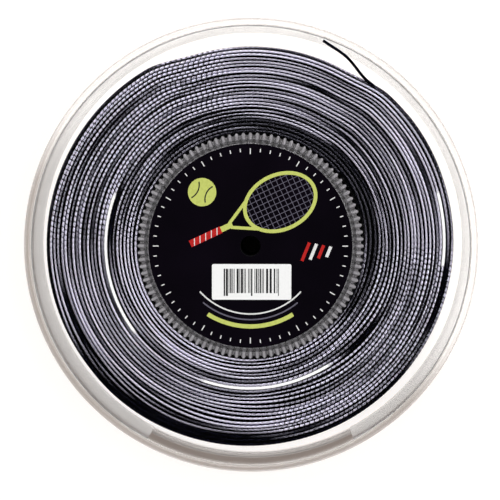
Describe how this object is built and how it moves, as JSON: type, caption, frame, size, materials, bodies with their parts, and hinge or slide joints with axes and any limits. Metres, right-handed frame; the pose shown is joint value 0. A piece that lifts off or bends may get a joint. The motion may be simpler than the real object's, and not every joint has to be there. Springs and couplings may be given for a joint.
{
  "type": "racket string reel",
  "caption": "Flat reel of racket string: clear flanges on a fluted drum, round labels, wound string with a loose end through the front flange, and a clear split strip round the winding.",
  "frame": {"origin": "on the reel's axis, in the plane that the rear flange's rim rests on", "axes": "+Z along the reel's axis, from the rear flange to the front label; +X to the right and +Y up as the front label is read, with the strip's opening towards -Y"},
  "size_m": [0.16, 0.16, 0.038],
  "materials": {
    "clear_flange": "gloss",
    "clear_drum": "gloss",
    "dark_tube": "satin",
    "label_print": "satin",
    "sticker_paper": "satin",
    "twisted_string": "gloss",
    "clear_strip": "gloss"
  },
  "bodies": {
    "reel": {"front_flange": "clear_flange", "rear_flange": "clear_flange", "fluted_drum": "clear_drum", "spindle_tube": "dark_tube", "front_label": "label_print", "rear_label": "label_print", "bar_code_sticker": "sticker_paper", "winding_core": "twisted_string", "winding_outer_layer": "twisted_string", "string_tail": "twisted_string", "string_start": "twisted_string"},
    "strip": {"keeper_strip": "clear_strip"}
  },
  "joints": [
    {"name": "strip_turn", "type": "hinge", "parent": "reel", "child": "strip", "pos_m": [0, 0, 0.0178], "axis": [0, 0, 1], "continuous": true}
  ]
}
